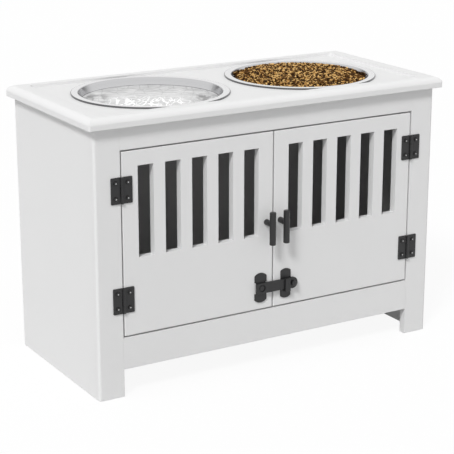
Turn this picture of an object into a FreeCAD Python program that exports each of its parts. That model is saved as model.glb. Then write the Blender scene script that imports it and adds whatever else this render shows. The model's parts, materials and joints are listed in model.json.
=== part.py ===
import FreeCAD, Part
import Sketcher
import os

# Raised pet feeding station: a painted board cabinet standing on its side panels and front legs,
# a moulded and recessed top board that carries two lift-out steel bowls, two slotted inset doors
# on surface butt hinges, a T-bar pull on each door, and a drop-bar latch between the doors.
# Millimetres. +X runs to the right along the front, the front faces -Y, and +Z is up.
# The origin is on the floor, at the middle of the whole object's footprint.

driving_sizes = {
    # cabinet boards
    "body_width": 580,
    "body_depth": 265,
    "body_height": 396,
    "panel_thickness": 12,
    "back_thickness": 5,
    "leg_width": 40,
    "leg_height": 41.5,
    "leg_round": 4,
    "bottom_rail_height": 47.5,
    "top_rail_height": 33.5,
    "stop_height": 24,
    "stop_lap": 10,
    # top board
    "side_overhang": 10,
    "front_overhang": 10,
    "back_overhang": 10,
    "top_thickness": 16,
    "edge_height": 7.5,
    "edge_run": 11,
    "corner_round": 3,
    "recess_depth": 4,
    "recess_round": 5,
    "recess_margin": 23.5,
    "recess_end_margin": 28,
    # bowls
    "bowl_side_room": 1.5,
    "bowl_end_room": 23.5,
    "bowl_between": 27,
    "rim_width": 11,
    "rim_lift": 2.5,
    "bowl_wall": 1,
    "bowl_depth": 62,
    "foot_inset": 31.5,
    "foot_bend": 24,
    "rim_edge_bend": 1.2,
    "mouth_bend": 1.4,
    "hole_clearance": 1,
    # dry food in the right bowl
    "food_drop": 7,
    "food_crown": 3,
    "food_clearance": 0.3,
    # doors
    "door_gap": 2.5,
    "door_edge_round": 0.8,
    "slot_count": 5,
    "slot_margin": 24.5,
    "slot_bar_share": 0.74,
    "slot_height": 133,
    "slot_drop": 22,
    # butt hinges
    "hinge_inset": 56.5,
    "hinge_height": 38,
    "leaf_width": 16.5,
    "leaf_thickness": 1.5,
    "leaf_round": 1.2,
    "knuckle_diameter": 4.4,
    "knuckle_gap": 0.3,
    "knuckle_clearance": 0.4,
    "pin_diameter": 2.2,
    "pin_clearance": 0.05,
    "pin_end_round": 0.4,
    "hinge_screw_offset": 9.5,
    "hinge_screw_spread": 22.5,
    "hinge_screw_depth": 9,
    # hinge screws and through screws
    "head_diameter": 7,
    "head_height": 1.8,
    "head_round": 1.5,
    "shank_diameter": 3.2,
    "shank_clearance": 0.05,
    "through_head_height": 2.4,
    "through_depth": 1,
    # T-bar pulls
    "bar_diameter": 9.5,
    "bar_length": 50,
    "bar_round": 1.2,
    "bar_above_post": 19,
    "post_diameter": 9,
    "post_seat_gap": 0.02,
    "handle_standoff": 17.75,
    "handle_offset": 12,
    "handle_height": 136,
    # drop-bar latch
    "latch_offset": 22,
    "latch_height": 36,
    "pivot_plate_width": 20.5,
    "keeper_plate_width": 17.5,
    "plate_height": 46,
    "plate_end_radius": 14,
    "plate_thickness": 2,
    "plate_round": 0.7,
    "latch_screw_spread": 32,
    "waist_width": 15,
    "waist_height": 18,
    "arm_height": 16,
    "arm_thickness": 3.5,
    "arm_side_gap": 0.7,
    "arm_rest_gap": 0.8,
    "arm_reach": 54,
    "arm_tail": 9.5,
    "arm_tail_round": 2.5,
    "arm_end_diameter": 17.5,
    "hook_width": 9,
    "hook_wall": 2.4,
    "hook_rise": 1,
    "pivot_diameter": 5,
    "pivot_well_diameter": 11,
    "pivot_well_depth": 2,
    "pivot_head_diameter": 8,
    "pivot_head_height": 1.2,
    "pivot_head_gap": 0.2,
    "pivot_dimple": 6,
    "knob_diameter": 8,
    "knob_height": 5.5,
    "knob_round": 2.5,
    # dowels and cam fittings
    "dowel_diameter": 6,
    "dowel_length": 30,
    "dowel_clearance": 0.05,
    "dowel_edge_room": 9,
    "floor_dowel_bite": 8,
    "cam_diameter": 15,
    "cam_depth": 9.5,
    "cam_set_down": 24,
    "cam_inset": 45,
    "cam_slot": 1.6,
    "cam_bolt_diameter": 6,
    "cam_bolt_bite": 9,
    "cam_bolt_clearance": 0.05,
}

doc = FreeCAD.newDocument("feeding_station")
sheet = doc.addObject("Spreadsheet::Sheet", "sizes")
for row, (alias, number) in enumerate(driving_sizes.items(), 1):
    sheet.set(f"A{row}", alias)
    sheet.set(f"B{row}", str(number))
    sheet.setAlias(f"B{row}", alias)
doc.recompute()

nodes = {}

# Places that several pieces share, worked out from the driving sizes
handle_reach = "(sizes.handle_standoff + sizes.bar_diameter / 2)"
front = f"(({handle_reach} - sizes.body_depth - sizes.back_overhang) / 2)"
behind_front = f"({front} + sizes.panel_thickness)"
back = f"({front} + sizes.body_depth)"
side = "(sizes.body_width / 2)"
inner_side = f"({side} - sizes.panel_thickness)"
opening_side = f"({side} - sizes.leg_width)"
opening_bottom = "(sizes.leg_height + sizes.bottom_rail_height)"
opening_top = "(sizes.body_height - sizes.top_rail_height)"
hinge_axis = f"({opening_side} - sizes.door_gap / 2)"
hinge_axis_out = f"({front} - sizes.knuckle_diameter / 2)"
hinge_levels = {
    "upper": f"({opening_top} - sizes.hinge_inset)",
    "lower": f"({opening_bottom} + sizes.hinge_inset)",
}
recess_floor = "(sizes.body_height + sizes.top_thickness - sizes.recess_depth)"
board_middle = f"({front} + (sizes.body_depth + sizes.back_overhang - sizes.front_overhang) / 2)"
board_width = "(sizes.body_width + 2 * sizes.side_overhang)"
board_depth = "(sizes.body_depth + sizes.front_overhang + sizes.back_overhang)"
recess_half_length = f"({board_width} / 2 - sizes.recess_end_margin)"
recess_half_width = f"({board_depth} / 2 - sizes.recess_margin)"
rim_across = f"({recess_half_width} - sizes.bowl_side_room)"
rim_along = f"(({recess_half_length} - sizes.bowl_end_room - sizes.bowl_between / 2) / 2)"
rim_radius = f"min({rim_across}; {rim_along})"
bowl_middle = f"({recess_half_length} - sizes.bowl_end_room - {rim_radius})"
mouth_radius = f"({rim_radius} - sizes.rim_width)"
foot_radius = f"({rim_radius} - sizes.foot_inset)"
hole_radius = f"({mouth_radius} + sizes.bowl_wall + sizes.hole_clearance)"
screw_hole = "(sizes.shank_diameter / 2 + sizes.shank_clearance)"
handle_level = f"({opening_bottom} + sizes.handle_height)"
latch_level = f"({opening_bottom} + sizes.latch_height)"
arm_back = "(sizes.plate_thickness + sizes.arm_side_gap)"
arm_front = f"({arm_back} + sizes.arm_thickness)"
channel_front = f"({arm_front} + sizes.arm_side_gap)"
hook_front = f"({channel_front} + sizes.hook_wall)"
arm_seat = f"({latch_level} - sizes.arm_height / 2 - sizes.arm_rest_gap)"

turn_to = {
    "+X": FreeCAD.Rotation(FreeCAD.Vector(0, 1, 0), 90),
    "-X": FreeCAD.Rotation(FreeCAD.Vector(0, 1, 0), -90),
    "+Y": FreeCAD.Rotation(FreeCAD.Vector(1, 0, 0), -90),
    "-Y": FreeCAD.Rotation(FreeCAD.Vector(1, 0, 0), 90),
    "+Z": FreeCAD.Rotation(),
}


def amount(expression):
    return float(sheet.evalExpression(expression))


def place(piece, corner, direction="+Z"):
    piece.Placement = FreeCAD.Placement(FreeCAD.Vector(), turn_to[direction])
    for axis, expression in zip("xyz", corner):
        piece.setExpression(f"Placement.Base.{axis}", expression)
    return piece


def box(name, size, corner):
    piece = doc.addObject("Part::Box", name)
    for side_name, expression in zip(("Length", "Width", "Height"), size):
        piece.setExpression(side_name, expression)
    return place(piece, corner)


def rod(name, radius, length, start, direction):
    piece = doc.addObject("Part::Cylinder", name)
    piece.setExpression("Radius", radius)
    piece.setExpression("Height", length)
    return place(piece, start, direction)


def fuse(name, pieces):
    piece = doc.addObject("Part::MultiFuse", name)
    piece.Shapes = pieces
    piece.Refine = True
    return piece


def cut(name, base, tools):
    piece = doc.addObject("Part::Cut", name)
    piece.Base = base
    piece.Tool = tools[0] if len(tools) == 1 else fuse(name + "_tools", tools)
    piece.Refine = True
    return piece


def overlap(name, pieces):
    piece = doc.addObject("Part::MultiCommon", name)
    piece.Shapes = pieces
    piece.Refine = True
    return piece


def group(name, pieces):
    piece = doc.addObject("Part::Compound", name)
    piece.Links = pieces
    return piece


def round_edges(name, base, radius, chosen):
    doc.recompute()
    piece = doc.addObject("Part::Fillet", name)
    piece.Base = base
    size = amount(radius)
    piece.Edges = [(i, size, size) for i, edge in enumerate(base.Shape.Edges, 1) if chosen(edge)]
    return piece


def at_level(axis, expression):
    level = amount(expression)
    index = "xyz".index(axis)

    def lies_there(edge):
        return all(abs(vertex.Point[index] - level) < 1e-4 for vertex in edge.Vertexes)

    return lies_there


def runs_along(direction):
    def is_straight_and_parallel(edge):
        if edge.Curve.TypeId != "Part::GeomLine":
            return False
        return abs(abs(edge.Curve.Direction.dot(direction)) - 1) < 1e-6

    return is_straight_and_parallel


def keep(node, piece):
    piece.Label = node
    nodes[node] = piece
    return piece


def sketch_on(body, name, role):
    sketch = body.newObject("Sketcher::SketchObject", name)
    plane = next(feature for feature in body.Origin.OriginFeatures if feature.Role == role)
    sketch.AttachmentSupport = (plane, [""])
    sketch.MapMode = "FlatFace"
    return sketch


def pin_point(sketch, geometry, end, x, y):
    # Tie one end of a line or arc to its distances from the sketch's origin
    for kind, expression in (("DistanceX", x), ("DistanceY", y)):
        constraint = Sketcher.Constraint(kind, -1, 1, geometry, end, amount(expression))
        index = sketch.addConstraint(constraint)
        sketch.setExpression(f"Constraints[{index}]", expression)


def outline(sketch, corners):
    # Closed run of straight lines whose corners follow the sheet
    points = [FreeCAD.Vector(amount(x), amount(y), 0) for x, y in corners]
    first = sketch.GeometryCount
    count = len(points)
    for i in range(count):
        sketch.addGeometry(Part.LineSegment(points[i], points[(i + 1) % count]))
    for i, (x, y) in enumerate(corners):
        following = first + (i + 1) % count
        sketch.addConstraint(Sketcher.Constraint("Coincident", first + i, 2, following, 1))
        pin_point(sketch, first + i, 1, x, y)


def moulded_outline(sketch, width):
    # Section of the top board: upright lower edges, and a round that runs flush into the top face
    edge, run, top = "sizes.edge_height", "sizes.edge_run", "sizes.top_thickness"
    corners = [("0", "0"), (width, "0"), (width, edge), (f"{width} - {run}", top), (run, top), ("0", edge)]
    points = [FreeCAD.Vector(amount(x), amount(y), 0) for x, y in corners]
    rise = amount(f"{top} - {edge}")
    reach = amount(run)
    radius = (reach ** 2 + rise ** 2) / (2 * rise)
    right_middle = FreeCAD.Vector(points[3].x, points[3].y - radius, 0)
    left_middle = FreeCAD.Vector(points[4].x, points[4].y - radius, 0)
    half_way = FreeCAD.Vector(reach / 2, (radius ** 2 - (reach / 2) ** 2) ** 0.5, 0)
    mirrored = FreeCAD.Vector(-half_way.x, half_way.y, 0)
    sketch.addGeometry(Part.LineSegment(points[0], points[1]))
    sketch.addGeometry(Part.LineSegment(points[1], points[2]))
    sketch.addGeometry(Part.Arc(points[2], right_middle + half_way, points[3]))
    sketch.addGeometry(Part.LineSegment(points[3], points[4]))
    sketch.addGeometry(Part.Arc(points[4], left_middle + mirrored, points[5]))
    sketch.addGeometry(Part.LineSegment(points[5], points[0]))
    for first, second in ((0, 1), (1, 2), (4, 5), (5, 0)):
        sketch.addConstraint(Sketcher.Constraint("Coincident", first, 2, second, 1))
    sketch.addConstraint(Sketcher.Constraint("Tangent", 2, 2, 3, 1))
    sketch.addConstraint(Sketcher.Constraint("Tangent", 3, 2, 4, 1))
    for geometry, (x, y) in enumerate(corners):
        pin_point(sketch, geometry, 1, x, y)


def pad(body, name, sketch, length, reverse):
    feature = body.newObject("PartDesign::Pad", name)
    feature.Profile = sketch
    feature.setExpression("Length", length)
    feature.Reversed = reverse
    return feature


def stadium(name, width, height, depth, middle):
    # Upright plate with round ends, standing out of a door's face towards the front
    x, y, z = middle
    straight = f"({height} - {width})"
    web = box(
        name + "_web",
        (width, depth, straight),
        (f"{x} - {width} / 2", f"{y} - {depth}", f"{z} - {straight} / 2"),
    )
    top = rod(name + "_top", f"{width} / 2", depth, (x, y, f"{z} + {straight} / 2"), "-Y")
    bottom = rod(name + "_bottom", f"{width} / 2", depth, (x, y, f"{z} - {straight} / 2"), "-Y")
    return fuse(name, [web, top, bottom])


def screw(name, x, seat, z, head_height, length, direction):
    # Button-head screw whose head stands out of its seat along the given direction
    opposite = {"-Y": "+Y", "+Y": "-Y"}[direction]
    blank = rod(name + "_blank", "sizes.head_diameter / 2", head_height, (x, seat, z), direction)
    sign = -1 if direction == "-Y" else 1
    crown = at_level("y", f"{seat} + {sign} * {head_height}")
    head = round_edges(name + "_head", blank, "sizes.head_round", crown)
    shank = rod(name + "_shank", "sizes.shank_diameter / 2", length, (x, seat, z), opposite)
    return fuse(name, [head, shank])


def side_name(sign):
    return "left" if sign < 0 else "right"


# Joinery: dowels between the rails and the legs, and cam fittings between the boards
rail_spans = {
    "front_top_rail": (opening_top, "sizes.top_rail_height"),
    "front_bottom_rail": ("sizes.leg_height", "sizes.bottom_rail_height"),
}


def dowel_rods(prefix, extra, signs=(-1, 1), rails=tuple(rail_spans)):
    # Two dowels at each end of each rail, half in the rail and half in the leg
    middle = f"({front} + sizes.panel_thickness / 2)"
    rods = []
    for sign in signs:
        start = f"({sign} * {opening_side} - sizes.dowel_length / 2)"
        for rail in rails:
            low, height = rail_spans[rail]
            levels = {
                "low": f"({low} + sizes.dowel_edge_room)",
                "high": f"({low} + {height} - sizes.dowel_edge_room)",
            }
            for end, level in levels.items():
                rods.append(
                    rod(
                        f"{prefix}_{side_name(sign)}_{rail}_{end}",
                        f"sizes.dowel_diameter / 2 + {extra}",
                        f"sizes.dowel_length + 2 * {extra}",
                        (f"{start} - {extra}", middle, level),
                        "+X",
                    )
                )
    return rods


cam_level = "(sizes.body_height - sizes.cam_set_down)"
fitting_rows = {
    "front": f"({behind_front} + sizes.cam_inset)",
    "rear": f"({back} - sizes.cam_inset)",
}


def floor_dowel_rods(prefix, extra, signs=(-1, 1)):
    # Dowels that carry the floor panel, let into the side panels' inner faces
    level = f"({opening_bottom} - sizes.panel_thickness / 2)"
    rods = []
    for sign in signs:
        start = f"({sign} * ({inner_side} + sizes.floor_dowel_bite + {extra}))"
        for row, y in fitting_rows.items():
            rods.append(
                rod(
                    f"{prefix}_{side_name(sign)}_{row}",
                    f"sizes.dowel_diameter / 2 + {extra}",
                    f"sizes.dowel_length + 2 * {extra}",
                    (start, y, level),
                    "-X" if sign > 0 else "+X",
                )
            )
    return rods


def cam_bolt_rods(prefix, sign, radius, extra):
    # Bolts that stand in the top board and drop into the side panel's top edge
    x = f"({sign} * ({side} - sizes.panel_thickness / 2))"
    length = "sizes.cam_set_down + sizes.cam_bolt_bite"
    return [
        rod(f"{prefix}_{row}", radius, f"{length} + 2 * {extra}", (x, y, f"{cam_level} - {extra}"), "+Z")
        for row, y in fitting_rows.items()
    ]


def cam_disc_rods(prefix, sign, extra):
    # Discs let into the side panel's inner face
    start = f"({sign} * ({inner_side} + sizes.cam_depth + {extra}))"
    direction = "-X" if sign > 0 else "+X"
    return [
        rod(
            f"{prefix}_{row}",
            f"sizes.cam_diameter / 2 + {extra}",
            f"sizes.cam_depth + {extra}",
            (start, y, cam_level),
            direction,
        )
        for row, y in fitting_rows.items()
    ]


# Cabinet boards
def make_cabinet():
    panel_depth = "(sizes.body_depth - sizes.panel_thickness)"
    clearance = "sizes.dowel_clearance"
    cam_clearance = "sizes.cam_bolt_clearance"
    bolt_hole = f"(sizes.cam_bolt_diameter / 2 + {cam_clearance})"
    for sign in (-1, 1):
        name = side_name(sign)
        blank = box(
            f"{name}_panel_blank",
            ("sizes.panel_thickness", panel_depth, "sizes.body_height"),
            (f"-{side}" if sign < 0 else inner_side, behind_front, "0"),
        )
        bores = cam_disc_rods(f"{name}_cam_bore", sign, cam_clearance)
        bores += cam_bolt_rods(f"{name}_bolt_bore", sign, bolt_hole, cam_clearance)
        bores += floor_dowel_rods(f"{name}_floor_bore", clearance, signs=(sign,))
        keep(f"{name}_side_panel", cut(f"{name}_side_panel", blank, bores))

        leg_blank = box(
            f"{name}_leg_blank",
            ("sizes.leg_width", "sizes.panel_thickness", "sizes.body_height"),
            (f"-{side}" if sign < 0 else opening_side, front, "0"),
        )
        upright = runs_along(FreeCAD.Vector(0, 0, 1))
        outer = at_level("x", f"{sign} * {side}")
        face = at_level("y", front)
        softened = round_edges(
            f"{name}_leg_softened",
            leg_blank,
            "sizes.leg_round",
            lambda edge: upright(edge) and outer(edge) and face(edge),
        )
        bores = dowel_rods(f"{name}_leg_bore", clearance, signs=(sign,))
        for place_name, level in hinge_levels.items():
            bores += hinge_screw_rods(f"{name}_leg_{place_name}", sign, sign, level)
        keep(f"{name}_front_leg", cut(f"{name}_front_leg", softened, bores))

    for rail, (level, height) in rail_spans.items():
        blank = box(
            f"{rail}_blank",
            (f"2 * {opening_side}", "sizes.panel_thickness", height),
            (f"-{opening_side}", front, level),
        )
        keep(rail, cut(rail, blank, dowel_rods(f"{rail}_bore", clearance, rails=(rail,))))

    keep("rail_dowels", group("rail_dowels", dowel_rods("dowel", "0")))

    floor_depth = "(sizes.body_depth - sizes.panel_thickness - sizes.back_thickness)"
    floor_blank = box(
        "floor_blank",
        (f"2 * {inner_side}", floor_depth, "sizes.panel_thickness"),
        (f"-{inner_side}", behind_front, f"{opening_bottom} - sizes.panel_thickness"),
    )
    keep("floor_panel", cut("floor_panel", floor_blank, floor_dowel_rods("floor_panel_bore", clearance)))
    keep("floor_dowels", group("floor_dowels", floor_dowel_rods("floor_dowel", "0")))

    back_panel = box(
        "back_panel",
        (f"2 * {inner_side}", "sizes.back_thickness", "sizes.body_height - sizes.leg_height"),
        (f"-{inner_side}", f"{back} - sizes.back_thickness", "sizes.leg_height"),
    )
    keep("back_panel", back_panel)

    door_stop = box(
        "door_stop",
        (f"2 * {opening_side}", "sizes.panel_thickness", "sizes.stop_height"),
        (f"-{opening_side}", behind_front, f"{opening_top} - sizes.stop_lap"),
    )
    keep("door_stop", door_stop)


def make_cam_fittings():
    # Each disc has a cross slot for the driver and a way in for its bolt
    bolts = []
    discs = []
    for sign in (-1, 1):
        name = side_name(sign)
        bolts += cam_bolt_rods(f"{name}_cam_bolt", sign, "sizes.cam_bolt_diameter / 2", "0")
        blanks = cam_disc_rods(f"{name}_cam_blank", sign, "0")
        bolt_hole = "(sizes.cam_bolt_diameter / 2 + sizes.cam_bolt_clearance)"
        ways = cam_bolt_rods(f"{name}_cam_way", sign, bolt_hole, "sizes.cam_bolt_clearance")
        for blank, way, (row, y) in zip(blanks, ways, fitting_rows.items()):
            reach = "(sizes.cam_diameter * 0.7)"
            slots = []
            for along, wide, tall in (("flat", reach, "sizes.cam_slot"), ("tall", "sizes.cam_slot", reach)):
                slots.append(
                    box(
                        f"{name}_{row}_{along}_slot",
                        ("2 * sizes.cam_slot", wide, tall),
                        (
                            f"{sign} * {inner_side} - sizes.cam_slot",
                            f"{y} - {wide} / 2",
                            f"{cam_level} - {tall} / 2",
                        ),
                    )
                )
            discs.append(cut(f"{name}_{row}_cam", blank, [way] + slots))
    keep("cam_bolts", group("cam_bolts", bolts))
    keep("cam_discs", group("cam_discs", discs))


# Top board: the same moulding on all four edges, a shallow recess and two round holes
def make_top_board():
    corner = (f"-{board_width} / 2", f"{front} - sizes.front_overhang", "sizes.body_height")

    long_section = doc.addObject("PartDesign::Body", "top_long_section")
    sketch = sketch_on(long_section, "top_long_sketch", "XZ_Plane")
    moulded_outline(sketch, board_width)
    pad(long_section, "top_long_pad", sketch, board_depth, True)
    place(long_section, corner)

    cross_section = doc.addObject("PartDesign::Body", "top_cross_section")
    sketch = sketch_on(cross_section, "top_cross_sketch", "YZ_Plane")
    moulded_outline(sketch, board_depth)
    pad(cross_section, "top_cross_pad", sketch, board_width, False)
    place(cross_section, corner)

    plan = box("top_plan", (board_width, board_depth, "sizes.top_thickness"), corner)
    upright = runs_along(FreeCAD.Vector(0, 0, 1))
    rounded_plan = round_edges("top_rounded_plan", plan, "sizes.corner_round", upright)

    board = doc.addObject("Part::MultiCommon", "top_moulded_board")
    board.Shapes = [long_section, cross_section, rounded_plan]
    board.Refine = True

    recess = box(
        "top_recess",
        (f"2 * {recess_half_length}", f"2 * {recess_half_width}", "2 * sizes.recess_depth"),
        (f"-{recess_half_length}", f"{board_middle} - {recess_half_width}", recess_floor),
    )
    rounded_recess = round_edges("top_rounded_recess", recess, "sizes.recess_round", upright)

    tools = [rounded_recess]
    for sign in (-1, 1):
        tools.append(
            rod(
                f"{side_name(sign)}_bowl_hole",
                hole_radius,
                "2 * sizes.top_thickness",
                (f"{sign} * {bowl_middle}", board_middle, "sizes.body_height - sizes.top_thickness / 2"),
                "+Z",
            )
        )
        bolt_hole = "(sizes.cam_bolt_diameter / 2 + sizes.cam_bolt_clearance)"
        tools += cam_bolt_rods(f"{side_name(sign)}_top_bore", sign, bolt_hole, "sizes.cam_bolt_clearance")
    keep("top_board", cut("top_board", board, tools))


# Bowls: one spun sheet from the flat foot to the turned-down edge of the rim
def make_bowl(sign):
    name = f"{side_name(sign)}_bowl"
    body = doc.addObject("PartDesign::Body", name)
    sketch = sketch_on(body, f"{name}_sheet", "XZ_Plane")
    wall = "sizes.bowl_wall"
    under_rim = f"sizes.rim_lift - {wall}"
    outline(
        sketch,
        [
            ("0", "-sizes.bowl_depth"),
            (foot_radius, "-sizes.bowl_depth"),
            (f"{mouth_radius} + {wall}", under_rim),
            (f"{rim_radius} - {wall}", under_rim),
            (f"{rim_radius} - {wall}", "0"),
            (rim_radius, "0"),
            (rim_radius, "sizes.rim_lift"),
            (mouth_radius, "sizes.rim_lift"),
            (f"{foot_radius} - {wall}", f"{wall} - sizes.bowl_depth"),
            ("0", f"{wall} - sizes.bowl_depth"),
        ],
    )
    spun = body.newObject("PartDesign::Revolution", f"{name}_spun")
    spun.Profile = sketch
    spun.ReferenceAxis = (sketch, ["V_Axis"])
    spun.Angle = 360
    bends = {
        "foot_outside": ("-sizes.bowl_depth", foot_radius, "sizes.foot_bend"),
        "foot_inside": (
            f"{wall} - sizes.bowl_depth",
            f"{foot_radius} - {wall}",
            f"sizes.foot_bend - {wall}",
        ),
        "mouth": ("sizes.rim_lift", mouth_radius, "sizes.mouth_bend"),
        "edge": ("sizes.rim_lift", rim_radius, "sizes.rim_edge_bend"),
    }
    for bend, (level, radius, size) in bends.items():
        bend_edge(body, f"{name}_{bend}", level, radius, size)
    place(body, (f"{sign} * {bowl_middle}", board_middle, recess_floor))
    keep(name, body)


def make_food():
    # Dry food heaped in the right bowl: it rests on the bowl's floor and is crowned at its top
    body = doc.addObject("PartDesign::Body", "dry_food")
    sketch = sketch_on(body, "dry_food_section", "XZ_Plane")
    floor = "(sizes.bowl_wall - sizes.bowl_depth)"
    inner_foot = f"({foot_radius} - sizes.bowl_wall)"
    slope = f"({mouth_radius} - {inner_foot}) / (sizes.rim_lift - {floor})"
    edge = "(sizes.rim_lift - sizes.food_drop)"
    crown = f"({edge} + sizes.food_crown)"
    foot = f"({inner_foot} - sizes.food_clearance)"
    reach = f"({mouth_radius} - sizes.food_drop * {slope} - sizes.food_clearance)"
    corners = [("0", floor), (foot, floor), (reach, edge), ("0", crown)]
    points = [FreeCAD.Vector(amount(x), amount(y), 0) for x, y in corners]
    wide, high = amount(reach), amount("sizes.food_crown")
    radius = (wide ** 2 + high ** 2) / (2 * high)
    sag = radius - (radius ** 2 - (wide / 2) ** 2) ** 0.5
    half_way = FreeCAD.Vector(wide / 2, points[3].y - sag, 0)
    sketch.addGeometry(Part.LineSegment(points[0], points[1]))
    sketch.addGeometry(Part.LineSegment(points[1], points[2]))
    sketch.addGeometry(Part.Arc(points[2], half_way, points[3]))
    sketch.addGeometry(Part.LineSegment(points[3], points[0]))
    for geometry, (x, y) in enumerate(corners):
        following = (geometry + 1) % len(corners)
        sketch.addConstraint(Sketcher.Constraint("Coincident", geometry, 2, following, 1))
        pin_point(sketch, geometry, 1, x, y)
    sketch.addConstraint(Sketcher.Constraint("PointOnObject", 2, 3, -2))
    heap = body.newObject("PartDesign::Revolution", "dry_food_heap")
    heap.Profile = sketch
    heap.ReferenceAxis = (sketch, ["V_Axis"])
    heap.Angle = 360
    bend = "sizes.foot_bend - sizes.bowl_wall - sizes.food_clearance"
    bend_edge(body, "dry_food_foot", floor, foot, bend)
    place(body, (bowl_middle, board_middle, recess_floor))
    keep("dry_food", body)


def bend_edge(body, name, level, radius, bend):
    # Round the one circular edge at a level and radius of a spun sheet
    doc.recompute()
    base = body.Tip
    height = amount(level)
    across = amount(radius)
    found = [
        f"Edge{i}"
        for i, edge in enumerate(base.Shape.Edges, 1)
        if not edge.Degenerated
        and edge.Curve.TypeId == "Part::GeomCircle"
        and abs(edge.Curve.Radius - across) < 1e-4
        and abs(edge.Curve.Center.z - height) < 1e-4
    ]
    feature = body.newObject("PartDesign::Fillet", name)
    feature.Base = (base, found)
    feature.setExpression("Radius", bend)


# Doors: a board with a row of upright slots, hinge screw holes and through holes for the fittings
def make_door(sign):
    name = side_name(sign)
    width = f"({opening_side} - 1.5 * sizes.door_gap)"
    height = f"({opening_top} - {opening_bottom} - 2 * sizes.door_gap)"
    body = doc.addObject("PartDesign::Body", f"{name}_door_blank")
    sketch = sketch_on(body, f"{name}_door_outline", "XZ_Plane")
    outline(sketch, [("0", "0"), (width, "0"), (width, height), ("0", height)])
    slab = pad(body, f"{name}_door_slab", sketch, "sizes.panel_thickness", False)
    doc.recompute()
    face = at_level("y", "-sizes.panel_thickness")
    softened = body.newObject("PartDesign::Fillet", f"{name}_door_softened")
    softened.Base = (slab, [f"Edge{i}" for i, edge in enumerate(slab.Shape.Edges, 1) if face(edge)])
    softened.setExpression("Radius", "sizes.door_edge_round")

    # the row of slots and bars fills the door's width between its margins
    shares = "(sizes.slot_count + (sizes.slot_count - 1) * sizes.slot_bar_share)"
    slot_width = f"(({width} - 2 * sizes.slot_margin) / {shares})"
    slot_pitch = f"({slot_width} * (1 + sizes.slot_bar_share))"
    slot_left = "sizes.slot_margin"
    slot_top = f"({height} - sizes.slot_drop)"
    slot_bottom = f"({slot_top} - sizes.slot_height)"
    slot_right = f"({slot_left} + {slot_width})"
    slot_sketch = sketch_on(body, f"{name}_slot_outline", "XZ_Plane")
    slot_corners = [
        (slot_left, slot_bottom),
        (slot_right, slot_bottom),
        (slot_right, slot_top),
        (slot_left, slot_top),
    ]
    outline(slot_sketch, slot_corners)
    doc.recompute()
    slot = body.newObject("PartDesign::Pocket", f"{name}_slot")
    slot.Profile = slot_sketch
    slot.Type = "ThroughAll"
    slot.Reversed = True
    doc.recompute()
    slots = body.newObject("PartDesign::LinearPattern", f"{name}_slots")
    slots.Originals = [slot]
    slots.Direction = (slot_sketch, ["H_Axis"])
    slots.setExpression("Length", f"(sizes.slot_count - 1) * {slot_pitch}")
    slots.setExpression("Occurrences", "sizes.slot_count")
    body.Tip = slots
    left = f"(-{opening_side} + sizes.door_gap)" if sign < 0 else "(sizes.door_gap / 2)"
    place(body, (left, behind_front, f"{opening_bottom} + sizes.door_gap"))

    bores = []
    for place_name, level in hinge_levels.items():
        bores += hinge_screw_rods(f"{name}_door_{place_name}", sign, -sign, level)
    for place_name, x, z in through_places(sign):
        start = f"{front} - sizes.through_depth"
        length = "sizes.panel_thickness + 2 * sizes.through_depth"
        bores.append(rod(f"{name}_{place_name}_hole", screw_hole, length, (x, start, z), "+Y"))
    keep(f"{name}_door_panel", cut(f"{name}_door_panel", body, bores))


def through_places(sign):
    # Where screws pass through a door from behind: one for the pull, two for the latch plate
    yield "pull", f"({sign} * sizes.handle_offset)", handle_level
    for end, step in (("low", -1), ("high", 1)):
        yield (
            f"plate_{end}",
            f"({sign} * sizes.latch_offset)",
            f"({latch_level} + {step} * sizes.latch_screw_spread / 2)",
        )


def make_through_screws(sign):
    name = side_name(sign)
    screws = [
        screw(
            f"{name}_{place_name}_screw",
            x,
            behind_front,
            z,
            "sizes.through_head_height",
            "sizes.panel_thickness + sizes.through_depth",
            "+Y",
        )
        for place_name, x, z in through_places(sign)
    ]
    keep(f"{name}_fitting_screws", group(f"{name}_fitting_screws", screws))


# Surface butt hinges: each has a leaf on the leg, a leaf on the door, and a pin
def hinge_screw_rods(prefix, sign, leaf_sign, level):
    x = f"({sign} * {hinge_axis} + {leaf_sign} * sizes.hinge_screw_offset)"
    depth = "sizes.hinge_screw_depth + sizes.shank_clearance + sizes.leaf_thickness"
    return [
        rod(
            f"{prefix}_screw_bore_{end}",
            screw_hole,
            depth,
            (x, f"{front} - sizes.leaf_thickness", f"{level} + {step} * sizes.hinge_screw_spread / 2"),
            "+Y",
        )
        for end, step in (("low", -1), ("high", 1))
    ]


def hinge_barrels(prefix, sign, level, thirds, radius, gap):
    third = "sizes.hinge_height / 3"
    return [
        rod(
            f"{prefix}_barrel_{i}",
            radius,
            f"{third} - {gap}",
            (f"{sign} * {hinge_axis}", hinge_axis_out, f"{level} + ({i} - 1.5) * {third} + {gap} / 2"),
            "+Z",
        )
        for i in thirds
    ]


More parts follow.
